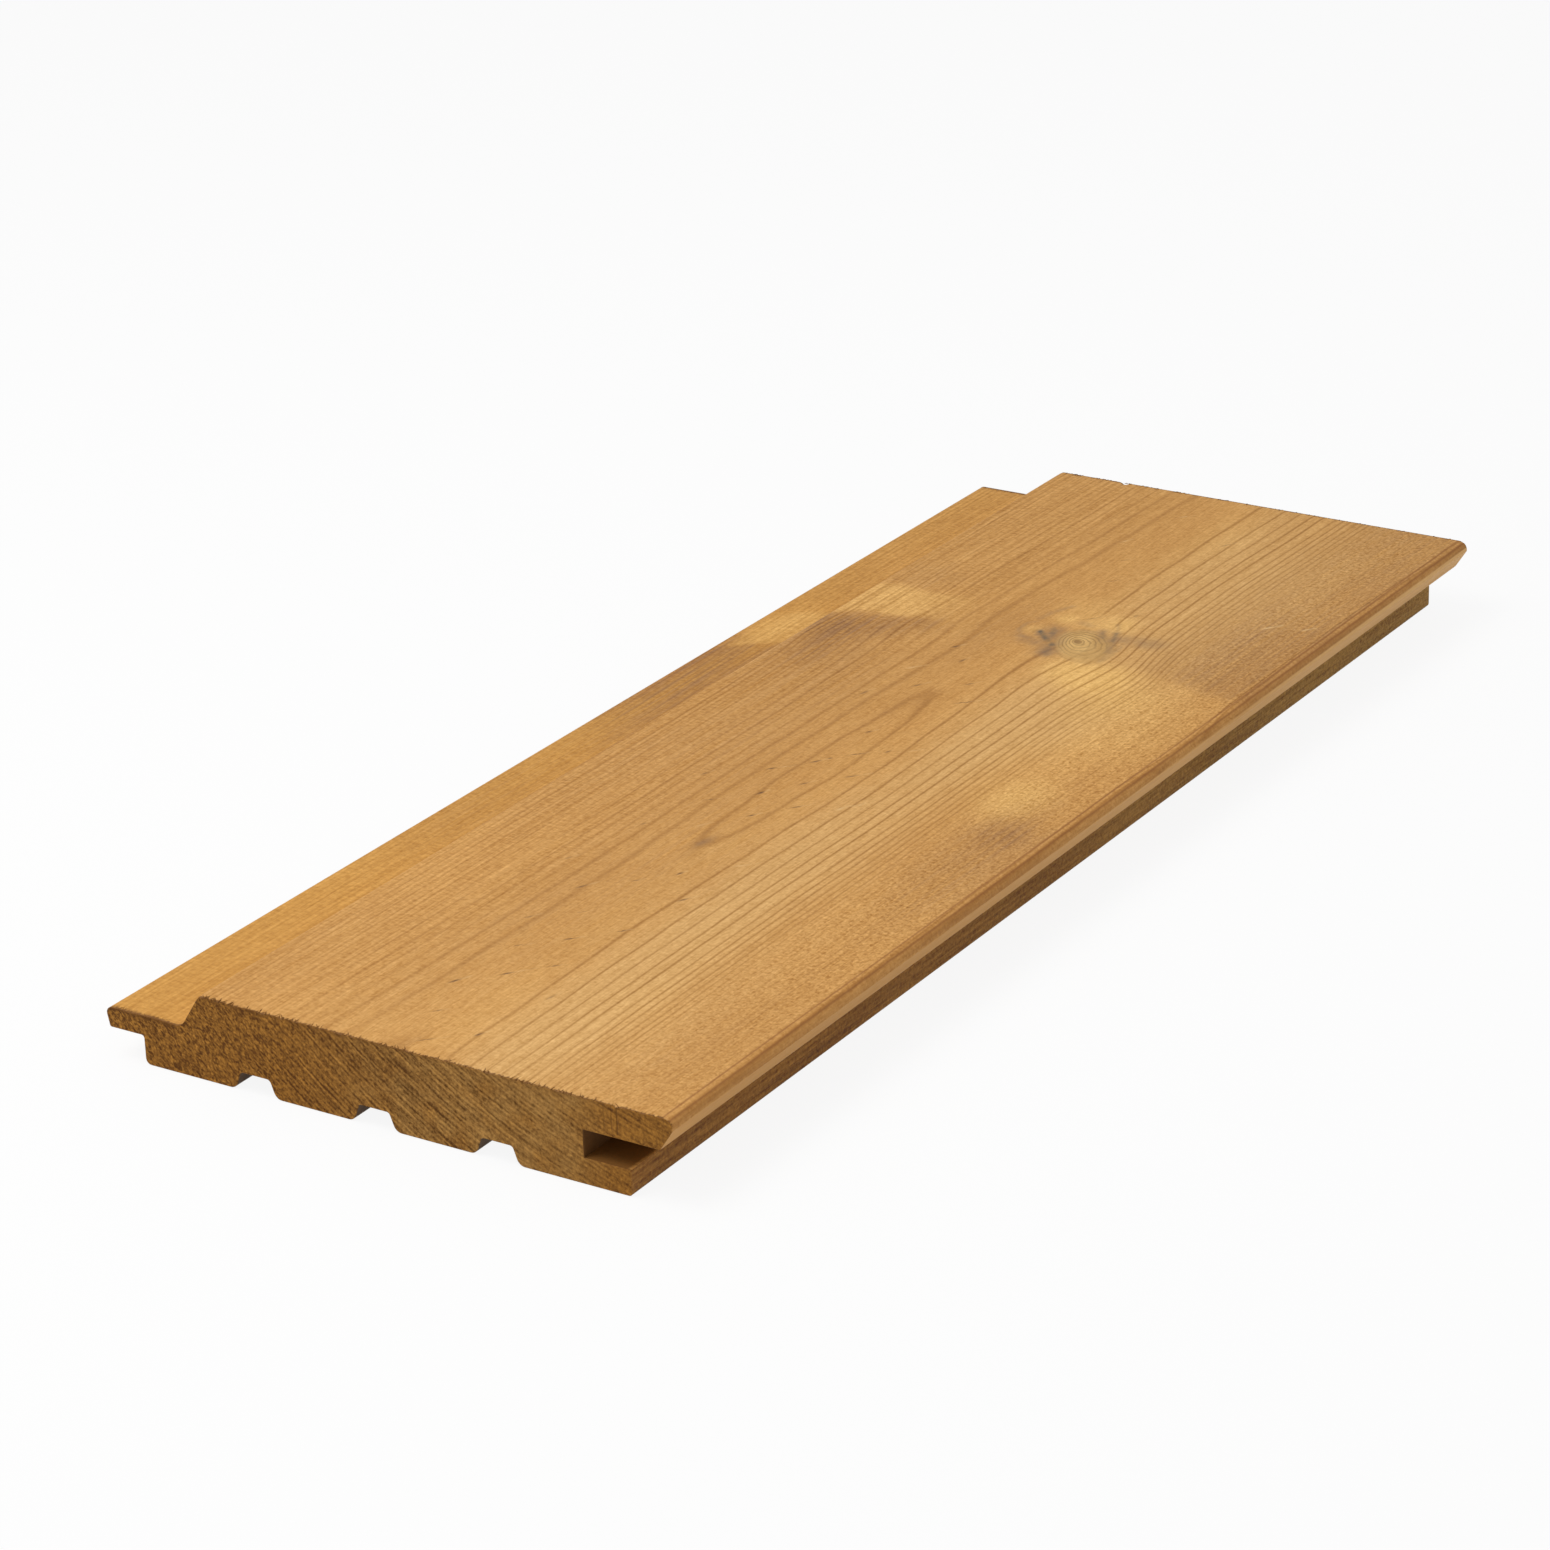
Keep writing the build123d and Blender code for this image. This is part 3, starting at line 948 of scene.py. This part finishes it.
def edge_colour(colour, across, along, up, normal_x, normal_z, grain):
    """The colour with the moulded edge on the right over it, from the nose down: painted shade on the
    lip side and in the slot, painted light on the bevel.
    """
    low = smooth(THICKNESS - 5.2, THICKNESS - 6.2, up) * smooth(85.0, 95.0, across)
    far_off = smooth(60.0, 335.0, along)
    in_slot = smooth(104.9, 103.6, across) * smooth(SLOT_FLOOR - 0.3, SLOT_FLOOR, up)
    # Painted shade on the lip side under the nose, lighter towards the far end
    side = mix(LIP_SIDE_SHADE, LIP_SIDE_DEEP_SHADE, 0.4 + 1.1 * grain.streak)
    side = mix(side, LIP_SIDE_FAR_SHADE, far_off * 0.75)
    side = scaled(side, 1.0 + 0.5 * grain.fibre + 0.6 * grain.worm + 0.5 * grain.thread)
    # Painted shade inside the slot: on its floor and roof, and darker still on its back wall
    side = mix(side, mix(SLOT_SHADE, SLOT_BACK_SHADE, smooth(0.6, 0.9, normal_x)), in_slot)
    upright = maths("MAXIMUM", smooth(0.3, 0.7, normal_x), in_slot)
    colour = mix(colour, side, low * upright)

    nose = smooth(112.2, 114.4, across) * smooth(-0.25, 0.05, normal_z) * smooth(15.5, 16.6, up)
    nose_wood = scaled(NOSE_WOOD, 1.0 + 0.2 * grain.fibre + 0.2 * grain.streak)
    colour = mix(colour, nose_wood, nose * 0.5)
    inner_line = hill(across, 112.5, 0.26)
    outer_line = hill(across + 0.1 * grain.blotch, 113.95, 0.24)
    lines = maths("MAXIMUM", inner_line, outer_line) * smooth(0.1, 0.3, normal_z)
    colour = mix(colour, NOSE_LINE, lines * smooth(15.5, 17.0, up) * 0.75)

    # Painted light on the bevel: floor bounce, and a painted sheen that grows paler and reaches
    # higher up the nose towards the far end
    bevel = smooth(-0.1, -0.3, normal_z - 0.5 * far_off) * smooth(0.6, 0.75, normal_x)
    bevel = bevel * smooth(SLOT_ROOF - 0.3, SLOT_ROOF, up)
    lit_bevel_wood = mix(mix(BEVEL_WOOD_AND_BOUNCE, BEVEL_FAR_SHEEN, far_off), NOSE_WOOD, 0.06 + 0.5 * grain.streak)
    return mix(colour, scaled(lit_bevel_wood, 1.0 + 0.12 * grain.fibre), bevel)


def back_colour(colour, across, up, normal_x, grain):
    """The colour with the back over it, rougher and darker wood with painted shade, and painted shade
    in its grooves.
    """
    back = smooth(GROOVE_DEPTH + 0.6, GROOVE_DEPTH - 0.2, up) * smooth(0.75, 0.4, normal_x)
    back_wood = mix(BACK_WOOD_AND_SHADE, LIP_SIDE_SHADE, 0.25 + 0.5 * grain.streak)
    colour = mix(colour, scaled(back_wood, 1.0 + 0.2 * grain.fibre), back * 0.8)
    # Painted shade inside the grooves
    in_groove = smooth(0.1, 0.9, up) * smooth(GROOVE_DEPTH + 0.6, GROOVE_DEPTH + 0.2, up)
    in_groove = in_groove * smooth(-14.5, -13.5, across) * smooth(103.0, 101.0, across)
    return mix(colour, GROOVE_SHADE, in_groove * 0.9)


def fringe_colour(colour, across, along, up, normal_z, grain):
    """The colour with the crushed fibres along the top arrises of the sawn ends over it."""
    from_end = maths("MINIMUM", along, LENGTH - along)
    ragged = noise(across / 0.45, along / 1.6, up / 0.45, 2.0)
    torn = from_end + 0.9 * ragged + 0.2 * grain.blotch
    torn = torn * (1.0 - 0.5 * smooth(-8.0, -12.0, across))
    return mix(colour, FRINGE, smooth(0.75, 0.15, torn) * smooth(0.1, 0.5, normal_z) * 0.94)


def wood_material():
    """Heat-treated softwood: one solid figure that every planed face and sawn end cuts through."""
    material, shader = start_material("thermowood")
    coordinates = new_node("TexCoord")
    x, y, z = (part / MM for part in parts(coordinates.outputs["Object"]))
    across, along, up = x - FACE_EDGE, y - NEAR_END, z
    normal_x, normal_y, normal_z = parts(coordinates.outputs["Normal"])
    grain = wood_grain(across, along, up)

    colour, height, line = face_colour(across, along, grain)
    colour = knot_colour(colour, up, grain)
    colour, mark = mark_colour(colour)
    colour = edge_colour(colour, across, along, up, normal_x, normal_z, grain)
    colour = back_colour(colour, across, up, normal_x, grain)
    colour = fringe_colour(colour, across, along, up, normal_z, grain)
    sawn, sawn_height = end_colour(across, along, up, line)
    is_end = smooth(0.55, 0.75, maths("ABSOLUTE", normal_y))
    TREE.links.new(mix(colour, sawn, is_end), shader.inputs["Base Color"])

    # Gloss and bump
    feed(shader.inputs["Roughness"], 0.66 + 0.05 * grain.worm - 0.06 * line + 0.14 * is_end)
    shader.inputs["Specular IOR Level"].default_value = 0.22
    chatter = maths("SINE", along * (2 * pi / CUTTER_PITCH) + 2.0 * grain.blotch)
    height = height + 0.012 * chatter * hill(across, 3.0, 9.0) - 0.08 * mark
    bump = new_node("Bump")
    bump.inputs["Distance"].default_value = MM
    feed(bump.inputs["Height"], height + (sawn_height - height) * is_end)
    TREE.links.new(bump.outputs[0], shader.inputs["Normal"])
    return material


# Torn fibres left by the saw along the arrises of the sawn ends

def sliver(root, tip, beside, thick, middle_shift):
    """Points and faces of one tapering sliver, counted from its own first point."""
    middle = (root + tip) / 2 + middle_shift
    above = np.array((0, 0, thick))
    places = []
    for place, share in ((root, 1.0), (middle, 0.8)):
        places += [place + beside * share, place + above * share, place - beside * share,
                   place - above * share]
    places.append(tip)
    faces = [(3, 2, 1, 0)]
    for k in range(4):
        n = (k + 1) % 4
        faces += [(k, n, 4 + n, 4 + k), (4 + k, 4 + n, 8)]
    return places, faces


def make_fibres(material):
    """Short slivers of wood that stand along the upper arrises of each sawn end."""
    random = np.random.default_rng(SLIVER_SEED)
    places, faces = [], []
    for end, inwards, count, first, width, top in SLIVER_ROWS:
        for _ in range(count):
            reach = random.uniform(0.7, 2.1)
            turn = random.uniform(-1.1, 0.6)
            thick = random.uniform(0.08, 0.16)
            place = first + width * random.random() ** 1.5
            root = np.array((place + FACE_EDGE, end + inwards * 0.03, top - ARRIS))
            tip = root + np.array((reach * sin(turn), inwards * reach * cos(turn), 0.15))
            beside = np.array((cos(turn), -inwards * sin(turn), 0)) * thick
            shift = np.array((random.uniform(-0.25, 0.25), 0, 0.03))
            points, sides = sliver(root, tip, beside, thick, shift)
            faces += [tuple(len(places) + v for v in side) for side in sides]
            places += points
    places = np.array(places)
    places[:, 1] = np.clip(places[:, 1], NEAR_END, NEAR_END + LENGTH)
    places[:, 2] = np.minimum(places[:, 2], THICKNESS - 0.005)
    mesh = new_mesh("sawn_fibres", places, faces)
    mesh.materials.append(material)
    mesh.shade_smooth()
    return add_object("sawn_fibres", mesh)


def fibre_material():
    material, shader = start_material("torn_fibre")
    x, y, z = (part / MM for part in parts(new_node("TexCoord").outputs["Object"]))
    shade = noise(x / 1.5, y / 1.5, z, 1.0)
    TREE.links.new(mix(FRINGE, LIP_SIDE_SHADE, shade), shader.inputs["Base Color"])
    shader.inputs["Roughness"].default_value = 0.8
    shader.inputs["Specular IOR Level"].default_value = 0.2
    return material


# Stage

def floor_material():
    """A pale floor that the camera sees as white, with the board's shadow kept."""
    material, shader = start_material("floor")
    shader.inputs["Base Color"].default_value = (0.82, 0.82, 0.82, 1)
    shader.inputs["Roughness"].default_value = 0.8
    shader.inputs["Specular IOR Level"].default_value = 0.1
    white = new_node("Emission")
    rays = new_node("LightPath")
    seen = Value(rays.outputs["Is Camera Ray"])
    for other in ("Is Glossy Ray", "Is Transmission Ray"):
        seen = maths("MAXIMUM", seen, Value(rays.outputs[other]))
    blend = new_node("MixShader")
    feed(blend.inputs[0], seen * FLOOR_WHITENESS)
    TREE.links.new(shader.outputs[0], blend.inputs[1])
    TREE.links.new(white.outputs[0], blend.inputs[2])
    TREE.links.new(blend.outputs[0], TREE.nodes["Material Output"].inputs["Surface"])
    return material


def make_floor():
    mesh = bpy.data.meshes.new("floor")
    corners = [(x * FLOOR_HALF, y * FLOOR_HALF, 0) for x, y in ((-1, -1), (1, -1), (1, 1), (-1, 1))]
    mesh.from_pydata(corners, [], [(0, 1, 2, 3)])
    mesh.materials.append(floor_material())
    floor = add_object("floor", mesh)
    floor.location.z = -FLOOR_DROP


def make_lamp(name, location, target, size, power):
    data = bpy.data.lights.new(name, "AREA")
    data.shape = "SQUARE"
    data.size = size
    data.energy = power
    lamp = add_object(name, data)
    lamp.location = location
    lamp.rotation_euler = (Vector(target) - Vector(location)).to_track_quat("-Z", "Y").to_euler()


def make_world(strength):
    world = bpy.data.worlds.new("studio")
    bpy.context.scene.world = world
    world.use_nodes = True
    background = world.node_tree.nodes["Background"]
    background.inputs["Color"].default_value = (1, 1, 1, 1)
    background.inputs["Strength"].default_value = strength


def make_camera():
    data = bpy.data.cameras.new("camera")
    data.lens = CAMERA_LENS
    data.sensor_width = SENSOR_WIDTH
    camera = add_object("camera", data)
    pose = Matrix.Translation(CAMERA_PLACE)
    for angle, axis in ((CAMERA_HEADING, "Z"), (-CAMERA_TILT, "X"), (CAMERA_ROLL, "Y"), (90, "X")):
        pose = pose @ Matrix.Rotation(radians(angle), 4, axis)
    camera.matrix_world = pose
    bpy.context.scene.camera = camera


bpy.context.scene.view_settings.view_transform = "Standard"
make_camera()
make_floor()
make_world(strength=0.52)
make_lamp("key", location=(-0.30, -0.35, 0.85), target=(0, -0.05, 0), size=0.6, power=5.5)

board = make_board()
board.data.materials.append(wood_material())
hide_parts(NODE)
fibres = make_fibres(fibre_material())
for piece in (board, fibres):
    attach(piece, "root")
